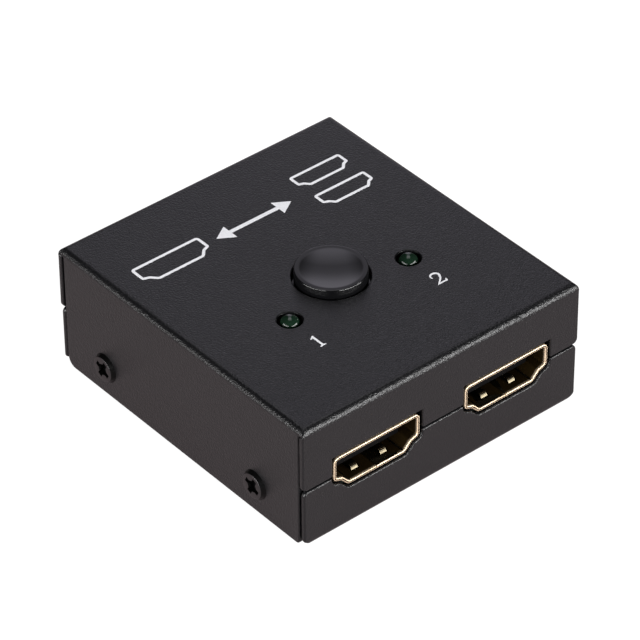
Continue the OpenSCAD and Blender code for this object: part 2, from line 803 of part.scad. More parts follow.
module surge_arrays() {
  pitch = surge_array.x + 0.5;
  color("#1b1b1d") for (i = [0 : 2], s = [-1, 1])
    at_port(i) translate([s * pitch / 2, array_row, 0]) standing(surge_array);
}

module chip_capacitors() {
  pitch = capacitor.x + 0.7;
  color("#b08a63") for (i = [0 : 2], k = [0 : 3])
    at_port(i) translate([(k - 1.5) * pitch, capacitor_row, 0]) standing(capacitor);
}

module chip_resistors() {
  size = [1, 0.5, 0.35];
  pitch = 1.4;
  gap = 1.2;
  color("#222224") for (k = [-1 : 1])
    both_x() translate([(chip_w + size.x) / 2 + gap, chip_y + k * pitch, board_top]) standing(size);
}

top_cover();
bottom_tray();
cover_screws();
circuit_board();
board_standoffs();
board_screws();
for (i = [0 : 2]) {
  port_shell(i);
  port_insulator(i);
  port_contacts(i);
}
button_cap();
switch_base();
switch_housing();
switch_plunger();
switch_spring();
switch_bridges();
switch_terminals();
switch_latch_pin();
for (k = [0 : 1]) {
  lamp_lens(lamp_x[k]);
  lamp_leads(lamp_x[k]);
}
signal_switch_chip();
surge_arrays();
chip_capacitors();
chip_resistors();
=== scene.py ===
# %% [markdown]
# # A push-button signal switch in folded steel
# This lesson dresses a small black switch box: a folded steel case, two gold-plated receptacles in
# front and one behind, a glossy push button and two green lamps. What carries, fits and moves comes
# from the CAD frame. Blender adds rounded edges, finishes, print and light, in the same place and size.

# %% Load the frame
from math import atan2, cos, pi, radians, sin, tan

import bmesh
import bpy
from mathutils import Matrix, Vector


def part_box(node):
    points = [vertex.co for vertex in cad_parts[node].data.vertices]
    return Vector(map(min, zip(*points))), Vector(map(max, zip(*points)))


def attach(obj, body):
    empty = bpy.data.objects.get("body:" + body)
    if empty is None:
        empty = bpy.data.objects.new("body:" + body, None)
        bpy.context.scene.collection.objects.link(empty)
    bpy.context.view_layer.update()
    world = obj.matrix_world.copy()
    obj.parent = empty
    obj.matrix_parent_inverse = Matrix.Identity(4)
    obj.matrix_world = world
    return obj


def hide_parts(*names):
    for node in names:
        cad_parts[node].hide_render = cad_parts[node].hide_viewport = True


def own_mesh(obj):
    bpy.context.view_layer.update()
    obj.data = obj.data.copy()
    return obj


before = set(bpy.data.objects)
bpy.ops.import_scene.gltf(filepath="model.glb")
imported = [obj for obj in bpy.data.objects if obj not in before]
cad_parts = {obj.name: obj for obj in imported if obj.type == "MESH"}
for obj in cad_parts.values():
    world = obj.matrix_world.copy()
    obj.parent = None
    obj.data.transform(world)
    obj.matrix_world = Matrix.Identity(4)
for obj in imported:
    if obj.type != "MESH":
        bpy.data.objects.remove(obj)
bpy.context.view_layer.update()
MM = 0.001
scene = bpy.context.scene

# %% [markdown]
# ## The camera
# A product photograph is taken from a distance with a long lens, so upright edges stay nearly
# parallel. The camera could be placed by eye. Here it was solved once from the case's corners, whose
# sizes are known, so its angles, distance and focal length are plain numbers, and nothing is shifted.

# %% Camera
AZIMUTH, ELEVATION, ROLL = radians(-39.865), radians(38.243), radians(-0.371)
DISTANCE, SLIDE_RIGHT, SLIDE_UP = 560.42, 0.354, 7.854
AIM_HEIGHT = 0.45
FOCAL_PIXELS, FRAME_PIXELS = 4059.5, 640
SENSOR = 36
NEAR, FAR = 0.05, 20

back = Vector((sin(AZIMUTH) * cos(ELEVATION), -cos(AZIMUTH) * cos(ELEVATION), sin(ELEVATION)))
right = Vector((cos(AZIMUTH), sin(AZIMUTH), 0))
up = back.cross(right)
eye = back * DISTANCE + right * SLIDE_RIGHT + up * SLIDE_UP + Vector((0, 0, AIM_HEIGHT))
roll = Matrix.Rotation(ROLL, 3, back)
axes = Matrix((roll @ right, roll @ up, back)).transposed()

camera = bpy.data.objects.new("camera", bpy.data.cameras.new("camera"))
scene.collection.objects.link(camera)
camera.matrix_world = Matrix.Translation(eye * MM) @ axes.to_4x4()
camera.data.sensor_width = SENSOR
camera.data.lens = FOCAL_PIXELS / FRAME_PIXELS * SENSOR
camera.data.clip_start, camera.data.clip_end = NEAR, FAR
scene.camera = camera
print("Camera in mm:", [round(v, 1) for v in eye], "lens", round(camera.data.lens, 1))

# %% [markdown]
# ## Colours and shader nodes
# Colours are written as a painter would pick them on a screen, in sRGB hex. The renderer counts
# light, so one function turns them to linear values. A second one adds a shader node with its
# settings and links, which keeps each finish below short enough to read as a recipe.

# %% Helpers for finishes
def linear(code):
    """An sRGB hex colour as linear red, green and blue, with an alpha of 1."""
    parts = [int(code[i:i + 2], 16) / 255 for i in (1, 3, 5)]
    return [c / 12.92 if c <= 0.04045 else ((c + 0.055) / 1.055) ** 2.4 for c in parts] + [1]


def add(tree, kind, inputs=None, **settings):
    """Adds a shader node. inputs holds values or other nodes' outputs, by socket name or number."""
    node = tree.nodes.new("ShaderNode" + kind)
    for name, value in settings.items():
        setattr(node, name, value)
    for name, value in (inputs or {}).items():
        if isinstance(value, bpy.types.NodeSocket):
            tree.links.new(value, node.inputs[name])
        else:
            node.inputs[name].default_value = value
    return node


def new_finish(name, **sockets):
    """A material whose Principled surface has these values. Underscores stand for spaces."""
    material = bpy.data.materials.new(name)
    material.use_nodes = True
    surface = material.node_tree.nodes["Principled BSDF"]
    for socket, value in sockets.items():
        surface.inputs[socket.replace("_", " ")].default_value = value
    return material, material.node_tree, surface


def per_mm(size):
    """The texture scale at which a pattern's features are about this many millimetres apart."""
    return 1 / (size * MM)

# %% [markdown]
# ## Powder coat
# The case is sheet steel, sprayed with black polyester powder and baked. The grains melt into a
# pebbled film: nearly black in itself, with a broad satin gloss that breaks into sparkles where a bend
# catches a lamp. A smooth noise for the pebbles and a finer one for the grain go into one bump. Where
# the sheet is bent the film pulls back from the curve and its pebbles are larger. The fourth powers of a
# normal's parts add up to 1 on a flat panel and to less on a bend, which tells the two apart.

# %% Powder coat
PEBBLE, PEBBLE_HEIGHT = 0.22, 0.07
GRAIN, GRAIN_SHARE = 0.12, 0.25
BEND_PEBBLE, BEND_SHARE = 0.34, 0.7
FLAT, BENT = 1.0, 0.8
COAT_ROUGHNESS = (0.26, 0.36)

powder_coat, tree, surface = new_finish("powder coated steel", IOR=1.5, Specular_IOR_Level=0.3)
where = add(tree, "TexCoord").outputs["Object"]
pebbles = add(tree, "TexNoise", {"Vector": where, "Scale": per_mm(PEBBLE), "Detail": 1.5})
grain = add(tree, "TexNoise", {"Vector": where, "Scale": per_mm(GRAIN), "Detail": 1.0})
film = add(tree, "Math", {0: grain.outputs[0], 1: GRAIN_SHARE, 2: pebbles.outputs[0]},
           operation="MULTIPLY_ADD")
facing = add(tree, "NewGeometry").outputs["Normal"]
squares = add(tree, "VectorMath", {0: facing, 1: facing}, operation="MULTIPLY")
flatness = add(tree, "VectorMath", {0: squares.outputs[0], 1: squares.outputs[0]}, operation="DOT_PRODUCT")
bent = add(tree, "MapRange", {"Value": flatness.outputs["Value"], "From Min": FLAT, "From Max": BENT,
                              "To Max": BEND_SHARE})
coarse = add(tree, "TexNoise", {"Vector": where, "Scale": per_mm(BEND_PEBBLE), "Detail": 1.0})
skin = add(tree, "Math", {0: coarse.outputs[0], 1: bent.outputs[0], 2: film.outputs[0]},
           operation="MULTIPLY_ADD")
bump = add(tree, "Bump", {"Height": skin.outputs[0], "Distance": PEBBLE_HEIGHT * MM})
tree.links.new(bump.outputs[0], surface.inputs["Normal"])
pigment = add(tree, "Mix", {"Factor": pebbles.outputs[0], 6: linear("#08080a"), 7: linear("#0e0e0f")},
              data_type="RGBA")
tree.links.new(pigment.outputs[2], surface.inputs["Base Color"])
matt = add(tree, "MapRange", {"Value": grain.outputs[0], "To Min": COAT_ROUGHNESS[0],
                              "To Max": COAT_ROUGHNESS[1]})
tree.links.new(matt.outputs[0], surface.inputs["Roughness"])
print("Finish:", powder_coat.name)

# %% [markdown]
# ## Gold flash
# A receptacle's shell is stamped from copper alloy and plated with a thin flash of gold over nickel.
# The plating is satin, so it mirrors the studio much blurred, in a pale warm tone, and stretched noise
# gives faint streaks along the rolling direction of the strip. Within half a millimetre behind the rim
# the tone is painted down to a dark brown: painted shade for the inside of the mouth.

# %% Gold flash
STREAK, STREAK_STRETCH = 0.25, 0.08
RIM_PLANE, MOUTH_SHADE_DEPTH = 25.8, 0.5
GOLD_ROUGHNESS = (0.54, 0.66)

gold_flash, tree, surface = new_finish("gold flash on copper alloy", Metallic=1.0)
where = add(tree, "TexCoord").outputs["Object"]
rolled = add(tree, "Mapping", {"Vector": where, "Scale": (1, STREAK_STRETCH, 1)})
streaks = add(tree, "TexNoise", {"Vector": rolled.outputs[0], "Scale": per_mm(STREAK), "Detail": 2})
polish = add(tree, "MapRange", {"Value": streaks.outputs[0], "To Min": GOLD_ROUGHNESS[0],
                                "To Max": GOLD_ROUGHNESS[1]})
tree.links.new(polish.outputs[0], surface.inputs["Roughness"])
tone = add(tree, "Mix", {"Factor": streaks.outputs[0], 6: linear("#e0c8a6"), 7: linear("#ebdcc6")},
           data_type="RGBA")
# The tone darkens with depth behind the rim: painted shade inside the mouth.
length = add(tree, "SeparateXYZ", {"Vector": where})
reach = add(tree, "Math", {0: length.outputs["Y"]}, operation="ABSOLUTE")
plated = add(tree, "MapRange", {"Value": reach.outputs[0], "From Min": (RIM_PLANE - MOUTH_SHADE_DEPTH) * MM,
                                "From Max": RIM_PLANE * MM}, interpolation_type="SMOOTHSTEP")
mouth_painted_shade = add(tree, "Mix", {"Factor": plated.outputs[0], 6: linear("#2f2412"), 7: tone.outputs[2]},
            data_type="RGBA")
tree.links.new(mouth_painted_shade.outputs[2], surface.inputs["Base Color"])
print("Finish:", gold_flash.name)

# %% [markdown]
# ## Moulded plastics
# The cap is ABS from a polished mould: black, with a wet gloss and a slow waviness from shrinking.
# The receptacles' tongues, the switch and the chips are glass-filled plastic from a matt mould. Both
# are one recipe with other numbers: a noise for the surface and a narrow range of roughness. Ceramic,
# solder mask and the near-black of the screws' sides and recesses follow it too; that near-black is
# painted shade.

# %% Moulded plastics
def moulded(name, dark, light, ior, gloss, wave, wave_height, level=0.5):
    """A moulded plastic with two tones, a range of roughness and a wavy skin, sizes in millimetres.

    level is the specular level, below 0.5 where pores in the skin swallow a part of the gloss.
    """
    material, tree, surface = new_finish(name, IOR=ior, Specular_IOR_Level=level)
    where = add(tree, "TexCoord").outputs["Object"]
    skin = add(tree, "TexNoise", {"Vector": where, "Scale": per_mm(wave), "Detail": 2})
    bump = add(tree, "Bump", {"Height": skin.outputs[0], "Distance": wave_height * MM})
    tree.links.new(bump.outputs[0], surface.inputs["Normal"])
    shine = add(tree, "MapRange", {"Value": skin.outputs[0], "To Min": gloss[0], "To Max": gloss[1]})
    tree.links.new(shine.outputs[0], surface.inputs["Roughness"])
    tone = add(tree, "Mix", {"Factor": skin.outputs[0], 6: linear(dark), 7: linear(light)}, data_type="RGBA")
    tree.links.new(tone.outputs[2], surface.inputs["Base Color"])
    print("Finish:", name)
    return material


glossy_abs = moulded("glossy black ABS", "#070708", "#0b0b0c", ior=1.53, gloss=(0.05, 0.1), wave=2.5,
                     wave_height=0.0015, level=0.38)
matt_polymer = moulded("matt black liquid crystal polymer", "#020203", "#050506", ior=1.5, gloss=(0.4, 0.5),
                       wave=0.2, wave_height=0.004, level=0.1)
white_nylon = moulded("white nylon", "#dcd8ce", "#e9e6de", ior=1.53, gloss=(0.35, 0.5), wave=0.6,
                      wave_height=0.004)
fired_ceramic = moulded("fired ceramic", "#a5825c", "#b9956c", ior=1.6, gloss=(0.4, 0.55), wave=0.15,
                        wave_height=0.003)
# Near-black with little gloss for the screws' sides and recesses: painted shade over black oxide.
shaded_oxide = moulded("black oxide with painted shade", "#020202", "#050505", ior=1.5, gloss=(0.25, 0.4), wave=0.3,
                     wave_height=0.003, level=0.1)
solder_mask = moulded("black solder mask", "#0b0e0c", "#131715", ior=1.55, gloss=(0.25, 0.4), wave=0.5,
                      wave_height=0.004)

# %% [markdown]
# ## Bare metals
# Screws are steel with a black oxide, and the other small parts are nickel, tin or bronze. A metal's
# look is its tint and how finely it was worked, so each has a colour, a range of roughness and the
# size of its tool marks. A metal keeps the default IOR.

# %% Bare metals
MARK_DEPTH = 0.004


def worked_metal(name, tint, roughness, marks):
    """A metal with a tint and a range of roughness that varies over tool marks, sized in millimetres."""
    material, tree, surface = new_finish(name, Base_Color=linear(tint), Metallic=1.0)
    where = add(tree, "TexCoord").outputs["Object"]
    worked = add(tree, "TexNoise", {"Vector": where, "Scale": per_mm(marks), "Detail": 3})
    polish = add(tree, "MapRange", {"Value": worked.outputs[0], "To Min": roughness[0],
                                    "To Max": roughness[1]})
    tree.links.new(polish.outputs[0], surface.inputs["Roughness"])
    bump = add(tree, "Bump", {"Height": worked.outputs[0], "Distance": MARK_DEPTH * MM})
    tree.links.new(bump.outputs[0], surface.inputs["Normal"])
    print("Finish:", name)
    return material


black_oxide = worked_metal("black oxide steel", "#3e3d3e", roughness=(0.25, 0.4), marks=0.3)
nickel = worked_metal("nickel plated steel", "#c9c5bb", roughness=(0.2, 0.35), marks=0.4)
bright_tin = worked_metal("bright tin", "#d5d4cf", roughness=(0.25, 0.4), marks=0.2)
bronze = worked_metal("phosphor bronze", "#c58f4c", roughness=(0.2, 0.35), marks=0.3)
gold_contact = worked_metal("gold plated contact", "#e6c67f", roughness=(0.15, 0.3), marks=0.2)
# The darker tint is painted shade for the inside of the mouth; the finer polish comes from rubbing.
rubbed_and_shaded_flash = worked_metal("rubbed gold flash with painted shade", "#6f6755", roughness=(0.15, 0.3), marks=0.2)

# %% [markdown]
# ## Lamp epoxy and printing ink
# The lamps are cast in green epoxy, so light sinks in and a wet gloss lies on top: a part of the
# light passes through, and the rest meets the dye. The marks on the cover are screen printed, a thin
# white film whose pinholes and thin spots show as a slight mottle.

# %% Epoxy and ink
CLEARNESS, INK_MOTTLE = 0.35, 0.3

green_epoxy = moulded("green lamp epoxy", "#101f15", "#162a1e", ior=1.54, gloss=(0.02, 0.05), wave=1.5,
                      wave_height=0.0008, level=0.2)
green_epoxy.node_tree.nodes["Principled BSDF"].inputs["Transmission Weight"].default_value = CLEARNESS

white_ink, tree, surface = new_finish("white screen ink", Roughness=0.5, IOR=1.5)
where = add(tree, "TexCoord").outputs["Object"]
mottle = add(tree, "TexNoise", {"Vector": where, "Scale": per_mm(INK_MOTTLE), "Detail": 2})
cover_of_ink = add(tree, "Mix", {"Factor": mottle.outputs[0], 6: linear("#cfcfd4"), 7: linear("#efeff2")},
                   data_type="RGBA")
tree.links.new(cover_of_ink.outputs[2], surface.inputs["Base Color"])
print("Finish:", white_ink.name)

# %% [markdown]
# ## From a mesh to a piece
# Every piece below is drawn in millimetres with bmesh, and one function makes it an object: it scales
# the mesh, shades it smooth up to its sharp edges, gives it a finish, hangs it on the empty of the body
# it rides on, and hides the CAD nodes it stands for.

# %% Piece
SHARP = radians(35)


def piece(name, mesh, material, slot, *nodes, body="case"):
    """Makes a piece from a bmesh in millimetres. It rides on the body and stands for the CAD nodes."""
    bmesh.ops.scale(mesh, vec=(MM, MM, MM), verts=mesh.verts)
    data = bpy.data.meshes.new(name)
    mesh.to_mesh(data)
    mesh.free()
    data.shade_smooth()
    data.set_sharp_from_angle(angle=SHARP)
    data.materials.append(material)
    made = bpy.data.objects.new(name, data)
    scene.collection.objects.link(made)
    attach(made, body)
    if nodes:
        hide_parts(*nodes)
    print("Piece:", name, len(data.polygons), "faces")
    return made

# %% [markdown]
# ## Outlines
# Sheet parts are cut flat, so their shapes are outlines first. An outline is a list of corners, and a
# corner with a radius turns into an arc. A receptacle's mouth has wide upper corners and a narrower
# floor, so that a plug goes in one way up, and an outline moved outward by a gap gives its cut-out.

# %% Outlines
def outline(corners, steps=6):
    """Points of an outline whose corners are (x, y, radius), with an arc at each rounded corner."""
    points = []
    for i, (x, y, radius) in enumerate(corners):
        here = Vector((x, y))
        before = (Vector(corners[i - 1][:2]) - here).normalized()
        after = (Vector(corners[(i + 1) % len(corners)][:2]) - here).normalized()
        if radius <= 0:
            points.append(here)
            continue
        half = before.angle(after) / 2
        centre = here + (before + after).normalized() * radius / sin(half)
        first = here + before * radius / tan(half) - centre
        last = here + after * radius / tan(half) - centre
        start = atan2(first.y, first.x)
        sweep = (atan2(last.y, last.x) - start + pi) % (2 * pi) - pi
        turns = [start + sweep * k / steps for k in range(steps + 1)]
        points += [centre + Vector((cos(a), sin(a))) * radius for a in turns]
    return points


def circle(x, y, diameter, steps=64):
    """Points of a round hole."""
    turns = [2 * pi * k / steps for k in range(steps)]
    return [Vector((x + diameter / 2 * cos(a), y + diameter / 2 * sin(a))) for a in turns]

# %% [markdown]
# ## Folding sheet steel
# The case could be modelled as a box with thick walls. A folded sheet is truer, and it shows the slits
# at the corners: flat panels are filled from their outlines, quarter-round bends join them, and the
# skin gets its thickness from Solidify. Bevel then rounds every cut edge as the baked powder does.

# %% Panels and bends
SHEET, BEND = 0.8, 1.1
BEND_STEPS, ROUND_STEPS = 8, 4
MERGE = 0.001


def panel(mesh, place, edge, holes=()):
    """Fills a flat panel with holes. place turns its two coordinates into a point in space."""
    edges = []
    for loop in (edge, *holes):
        ring = [mesh.verts.new(place(*point)) for point in loop]
        edges += [mesh.edges.new(pair) for pair in zip(ring, ring[1:] + ring[:1])]
    bmesh.ops.triangle_fill(mesh, edges=edges, use_beauty=True, use_dissolve=True)


def bend(mesh, place, half, by_out=1, by_drop=0, foot=None):
    """A quarter-round strip. place turns a station along it, a way out and a drop into a point.

    It reaches half each way and grows by shares of the way out, like a picture frame's corner, and of
    the drop, like a cut-off corner. foot, where given, holds the two stations of the last step instead.
    """
    rows = []
    for k in range(BEND_STEPS + 1):
        turn = pi / 2 * k / BEND_STEPS
        out, drop = BEND * sin(turn), BEND * (1 - cos(turn))
        end = half + by_out * out + by_drop * drop
        spots = foot if foot and k == BEND_STEPS else (-end, end)
        rows.append([mesh.verts.new(place(spot, out, drop)) for spot in spots])
    for high, low in zip(rows, rows[1:]):
        mesh.faces.new((high[0], high[1], low[1], low[0]))


def folded(name, mesh, outward, edge, *nodes):
    """Joins panels and bends to one skin that faces outward, and gives it thickness and rounded edges."""
    bmesh.ops.remove_doubles(mesh, verts=mesh.verts, dist=MERGE)
    bmesh.ops.recalc_face_normals(mesh, faces=mesh.faces)
    if max(mesh.faces, key=lambda face: face.calc_area()).normal.dot(outward) < 0:
        bmesh.ops.reverse_faces(mesh, faces=mesh.faces)
    sheet = piece(name, mesh, powder_coat, "powder_coat", *nodes)
    thick = sheet.modifiers.new("sheet thickness", "SOLIDIFY")
    thick.thickness, thick.offset, thick.use_even_offset = SHEET * MM, -1, True
    soft = sheet.modifiers.new("coated edges", "BEVEL")
    soft.width, soft.segments, soft.limit_method, soft.angle_limit = edge * MM, ROUND_STEPS, "ANGLE", SHARP
    soft.use_clamp_overlap, soft.loop_slide = False, False
    flat = sheet.modifiers.new("flat faces stay flat", "WEIGHTED_NORMAL")
    flat.keep_sharp = True

# %% [markdown]
# ## The places of the ports, button, lamps and screws
# The frame says where each CAD piece is, so the holes in the cover come from the boxes of what goes
# through them, and the sheet's own sizes from the box of the cover. A clearance is all that is added.

# %% Places from the frame
def box_mm(node):
    """A CAD node's lowest and highest corner, in millimetres."""
    return [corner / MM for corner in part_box(node)]


def middle(node):
    """The middle of a CAD node's box, in millimetres."""
    low, high = box_mm(node)
    return (low + high) / 2


cover_low, cover_high = box_mm("top_cover")
half_w, half_d, height = cover_high.x, cover_high.y, cover_high.z
fold_x, fold_y, fold_z = half_w - BEND, half_d - BEND, height - BEND
cap_place, lamp_places = middle("button_cap"), [middle("led_1_leads"), middle("led_2_leads")]
port_x = {-1: [middle("port_1_shell").x, middle("port_2_shell").x], 1: [middle("port_3_shell").x]}
screw_low, screw_high = box_mm("cover_screws")
HEAD = 4.5
screw_y = screw_high.y - HEAD / 2
screw_z = (screw_low.z + screw_high.z) / 2
print("Case", half_w * 2, half_d * 2, height, "screws at", round(screw_y, 2), round(screw_z, 2))

# %% [markdown]
# ## The cover
# The cover is the top, both sides and the upper half of the front and rear. The front and rear
# flanges run the full width, and the side panels stop a slit short of them. The slit ends at the foot
# of the bends, which meet in a mitre above it, filled by the coat.

# %% Folded cover
SEAM, SEAM_GAP = 9.625, 0.25
CAP_HOLE, LAMP_HOLE, SCREW_HOLE = 10.8, 3.5, 2.9
FLANGE_CORNER, PANEL_FRONT, PANEL_REAR = 0.8, 0.6, 1.5
SLIT_FRONT, SLIT_REAR = 0.15, 0.4
COVER_EDGE = 0.22
CUT_HALF, CUT_ABOVE = 7.8, 0.5
CUT_ROOF = box_mm("port_1_shell")[1].z + CUT_ABOVE

seam_high, seam_low = SEAM + SEAM_GAP / 2, SEAM - SEAM_GAP / 2
front_y, rear_y = SHEET + SLIT_FRONT - half_d, half_d - SHEET - SLIT_REAR
cover = bmesh.new()
holes = [circle(cap_place.x, cap_place.y, CAP_HOLE, steps=96)]
holes += [circle(place.x, place.y, LAMP_HOLE, steps=48) for place in lamp_places]
plate = [(fold_x, -fold_y, 0), (fold_x, fold_y, 0), (-fold_x, fold_y, 0), (-fold_x, -fold_y, 0)]
panel(cover, lambda x, y: (x, y, height), outline(plate), holes)
for side in (-1, 1):
    edge = [(-half_w, seam_high, FLANGE_CORNER)]
    for x in port_x[side]:
        edge += [(x - CUT_HALF, seam_high, 0), (x - CUT_HALF, CUT_ROOF, 0)]
        edge += [(x + CUT_HALF, CUT_ROOF, 0), (x + CUT_HALF, seam_high, 0)]
    edge += [(half_w, seam_high, FLANGE_CORNER), (half_w, fold_z, 0), (-half_w, fold_z, 0)]
    panel(cover, lambda x, z: (x, side * half_d, z), outline(edge))
    bend(cover, lambda x, out, drop: (x, side * (fold_y + out), height - drop), fold_x)
for side in (-1, 1):
    edge = [(front_y, cover_low.z, PANEL_FRONT), (rear_y, cover_low.z, PANEL_REAR)]
    edge += [(rear_y, fold_z, 0), (front_y, fold_z, 0)]
    holes = [circle(y, screw_z, SCREW_HOLE, steps=32) for y in (-screw_y, screw_y)]
    panel(cover, lambda y, z: (side * half_w, y, z), outline(edge), holes)
    bend(cover, lambda y, out, drop: (side * (fold_x + out), y, height - drop), fold_y,
         foot=(front_y, rear_y))
folded("folded_cover", cover, Vector((0, 0, 1)), COVER_EDGE, "top_cover")

# %% [markdown]
# ## The tray
# The tray is the floor with the lower half of the front and rear, and two low walls inside the
# cover's sides that the case screws grip. The receptacles' cut-outs follow their tapered shells, so
# the same mouth outline, moved outward, is let into the flange's upper edge.

# %% Folded tray
MOUTH_FLOOR, WALL, CUT_GAP = box_mm("circuit_board")[1].z, 0.45, 0.35
MOUTH = [(4.75, 0, 0.6), (5.85, 1.2, 0.8), (7, 1.6, 0.3), (7, 4.55, 0.45)]
WALL_GAP, WALL_TOP, WALL_END = 0.1, 9, 20.5
WALL_FACE = half_w - SHEET - WALL_GAP
CLINCH, THREAD_HOLE, TRAY_EDGE = 3.64, 2.5, 0.28
STANDOFF_X, STANDOFF_YS = 17, (-10, 19)

mouth_low = MOUTH_FLOOR + WALL


def moved_out(corners, gap):
    """Corners of the mouth's right half, moved outward by a gap. Each moves along its corner's middle."""
    full = [(-x, z, r) for x, z, r in corners[::-1]] + list(corners)
    moved = []
    for i, (x, z, r) in enumerate(full):
        a = (Vector((x, z)) - Vector(full[i - 1][:2])).normalized()
        b = (Vector(full[(i + 1) % len(full)][:2]) - Vector((x, z))).normalized()
        out_a, out_b = Vector((a.y, -a.x)), Vector((b.y, -b.x))
        step = (out_a + out_b) * gap / (1 + out_a.dot(out_b))
        inner = a.cross(b) < 0
        moved.append((x + step.x, z + step.y, max(r - gap, 0) if inner else r + gap))
    return moved


def cut_below(x0):
    """The lower cut-out of a receptacle at x0, from left to right, as corners of the flange's edge."""
    cut = [(x0 + x, z + mouth_low, r) for x, z, r in moved_out(MOUTH, WALL + CUT_GAP)]
    low = [corner for corner in cut if corner[1] < seam_low]
    return [(low[0][0], seam_low, 0), *low, (low[-1][0], seam_low, 0)]


tray = bmesh.new()
flange = box_mm("bottom_tray")[1].x
floor_x, tab_x, tab_y = WALL_FACE - BEND, flange - BEND, WALL_END + SHEET
standoffs = [(s * STANDOFF_X, y) for s in (-1, 1) for y in STANDOFF_YS]
floor_edge = [(tab_x, -fold_y, 0), (tab_x, -tab_y, 0), (floor_x, -tab_y, 0), (floor_x, -WALL_END, 0)]
floor_edge += [(x, -y, 0) for x, y, r in floor_edge[::-1]]
floor_edge += [(-x, y, 0) for x, y, r in floor_edge[::-1]]
holes = [circle(x, y, CLINCH, steps=32) for x, y in standoffs]
panel(tray, lambda x, y: (x, y, 0), outline(floor_edge), holes)
for side in (-1, 1):
    edge = [(-flange, BEND, 0), (flange, BEND, 0), (flange, seam_low, FLANGE_CORNER)]
    edge += [corner for x in port_x[side][::-1] for corner in cut_below(x)[::-1]]
    edge += [(-flange, seam_low, FLANGE_CORNER)]
    panel(tray, lambda x, z: (x, side * half_d, z), outline(edge))
    bend(tray, lambda x, out, drop: (x, side * (fold_y + out), drop), tab_x, by_out=0, by_drop=1)
for side in (-1, 1):
    edge = [(-WALL_END, BEND, 0), (WALL_END, BEND, 0)]
    edge += [(WALL_END, WALL_TOP, FLANGE_CORNER), (-WALL_END, WALL_TOP, FLANGE_CORNER)]
    holes = [circle(y, screw_z, THREAD_HOLE, steps=32) for y in (-screw_y, screw_y)]
    panel(tray, lambda y, z: (side * WALL_FACE, y, z), outline(edge), holes)
    bend(tray, lambda y, out, drop: (side * (floor_x + out), y, drop), WALL_END, by_out=0)
folded("folded_tray", tray, Vector((0, 0, -1)), TRAY_EDGE, "bottom_tray")

# %% [markdown]
# ## Turned shapes
# The button, the lamps and the screw heads are round, so each is a half section turned about its
# axis. A turned section keeps highlights smooth, where stacked cylinders would show a step.

# %% Turning a section
ON_AXIS = 0.0001


def turned(mesh, section, steps=96):
    """Turns a half section of (radius, height) points round the Z axis."""
    rings = []
    for radius, z in section:
        count = steps if radius > ON_AXIS else 1
        turns = [2 * pi * k / count for k in range(count)]
        rings.append([mesh.verts.new((radius * cos(a), radius * sin(a), z)) for a in turns])
    for low, high in zip(rings, rings[1:]):
        for k in range(steps):
            around = [low[k % len(low)], low[(k + 1) % len(low)]]
            around += [high[(k + 1) % len(high)], high[k % len(high)]]
            corners = list(dict.fromkeys(around))
            if len(corners) > 2:
                mesh.faces.new(corners)
    bmesh.ops.recalc_face_normals(mesh, faces=mesh.faces)


def arc(r, z, radius, start, end, steps=8):
    """Section points along an arc about (r, z), with angles in degrees from the outward direction."""
    turns = [radians(start + (end - start) * k / steps) for k in range(steps + 1)]
    return [(r + radius * cos(a), z + radius * sin(a)) for a in turns]

# %% [markdown]
# ## The button
# The cap is dished for a fingertip, with a small round on its rim that draws the lamps into two thin
# arcs. Its lip waits under the cover and keeps it from being pulled out, and a boss takes the stem.

# %% Dished cap
CAP, CAP_EDGE, CAP_RING, DISH = 10.2, 0.16, 0.46, 0.4
RING_START, DISH_STEPS = 0.08, 16
LIP_T, LIP_GAP, CAP_WALL, CAP_ROOF = 0.8, 0.25, 0.9, 1.1
BOSS, SOCKET = 5.87, 4.75

cap_low, cap_high = box_mm("button_cap")
rim, dish, lip = CAP / 2 - CAP_EDGE, CAP / 2 - CAP_EDGE - CAP_RING, (cap_high.x - cap_low.x) / 2
dish_radius = (dish ** 2 + DISH ** 2) / (2 * DISH)
lip_top = height - SHEET - LIP_GAP
lip_low = lip_top - LIP_T
under = cap_high.z - DISH - CAP_ROOF
inner = CAP / 2 - CAP_WALL
reach = [dish * k / DISH_STEPS for k in range(DISH_STEPS + 1)]
section = [(r, cap_high.z - DISH + dish_radius - (dish_radius ** 2 - r ** 2) ** 0.5) for r in reach]
section += [(dish + RING_START, cap_high.z)] + arc(rim, cap_high.z - CAP_EDGE, CAP_EDGE, 90, 0, steps=10)
section += [(CAP / 2, lip_top), (lip, lip_top), (lip, lip_low), (inner, lip_low), (inner, under)]
section += [(BOSS / 2, under), (BOSS / 2, cap_low.z)]
section += [(SOCKET / 2, cap_low.z), (SOCKET / 2, under), (0, under)]
cap = bmesh.new()
turned(cap, section, steps=128)
bmesh.ops.translate(cap, vec=(cap_place.x, cap_place.y, 0), verts=cap.verts)
piece("dished_cap", cap, glossy_abs, "gloss_black", "button_cap", body="button")

# %% [markdown]
# ## The lamps
# A lamp is a round body with a domed end and a flange, cast in one. The dome just clears the cover.

# %% Domed lamps
LAMP, LAMP_FLANGE, LAMP_FLANGE_T = 2.9, 3.8, 1

for number, place in zip((1, 2), lamp_places):
    node = f"led_{number}_lens"
    low, high = box_mm(node)
    radius = LAMP / 2
    section = arc(0, high.z - radius, radius, 90, 0, steps=16)
    section += [(radius, low.z + LAMP_FLANGE_T), (LAMP_FLANGE / 2, low.z + LAMP_FLANGE_T)]
    section += [(LAMP_FLANGE / 2, low.z), (0, low.z)]
    lens = bmesh.new()
    turned(lens, section, steps=64)
    bmesh.ops.translate(lens, vec=(place.x, place.y, 0), verts=lens.verts)
    piece(f"domed_lamp_{number}", lens, green_epoxy, "green_epoxy", node)
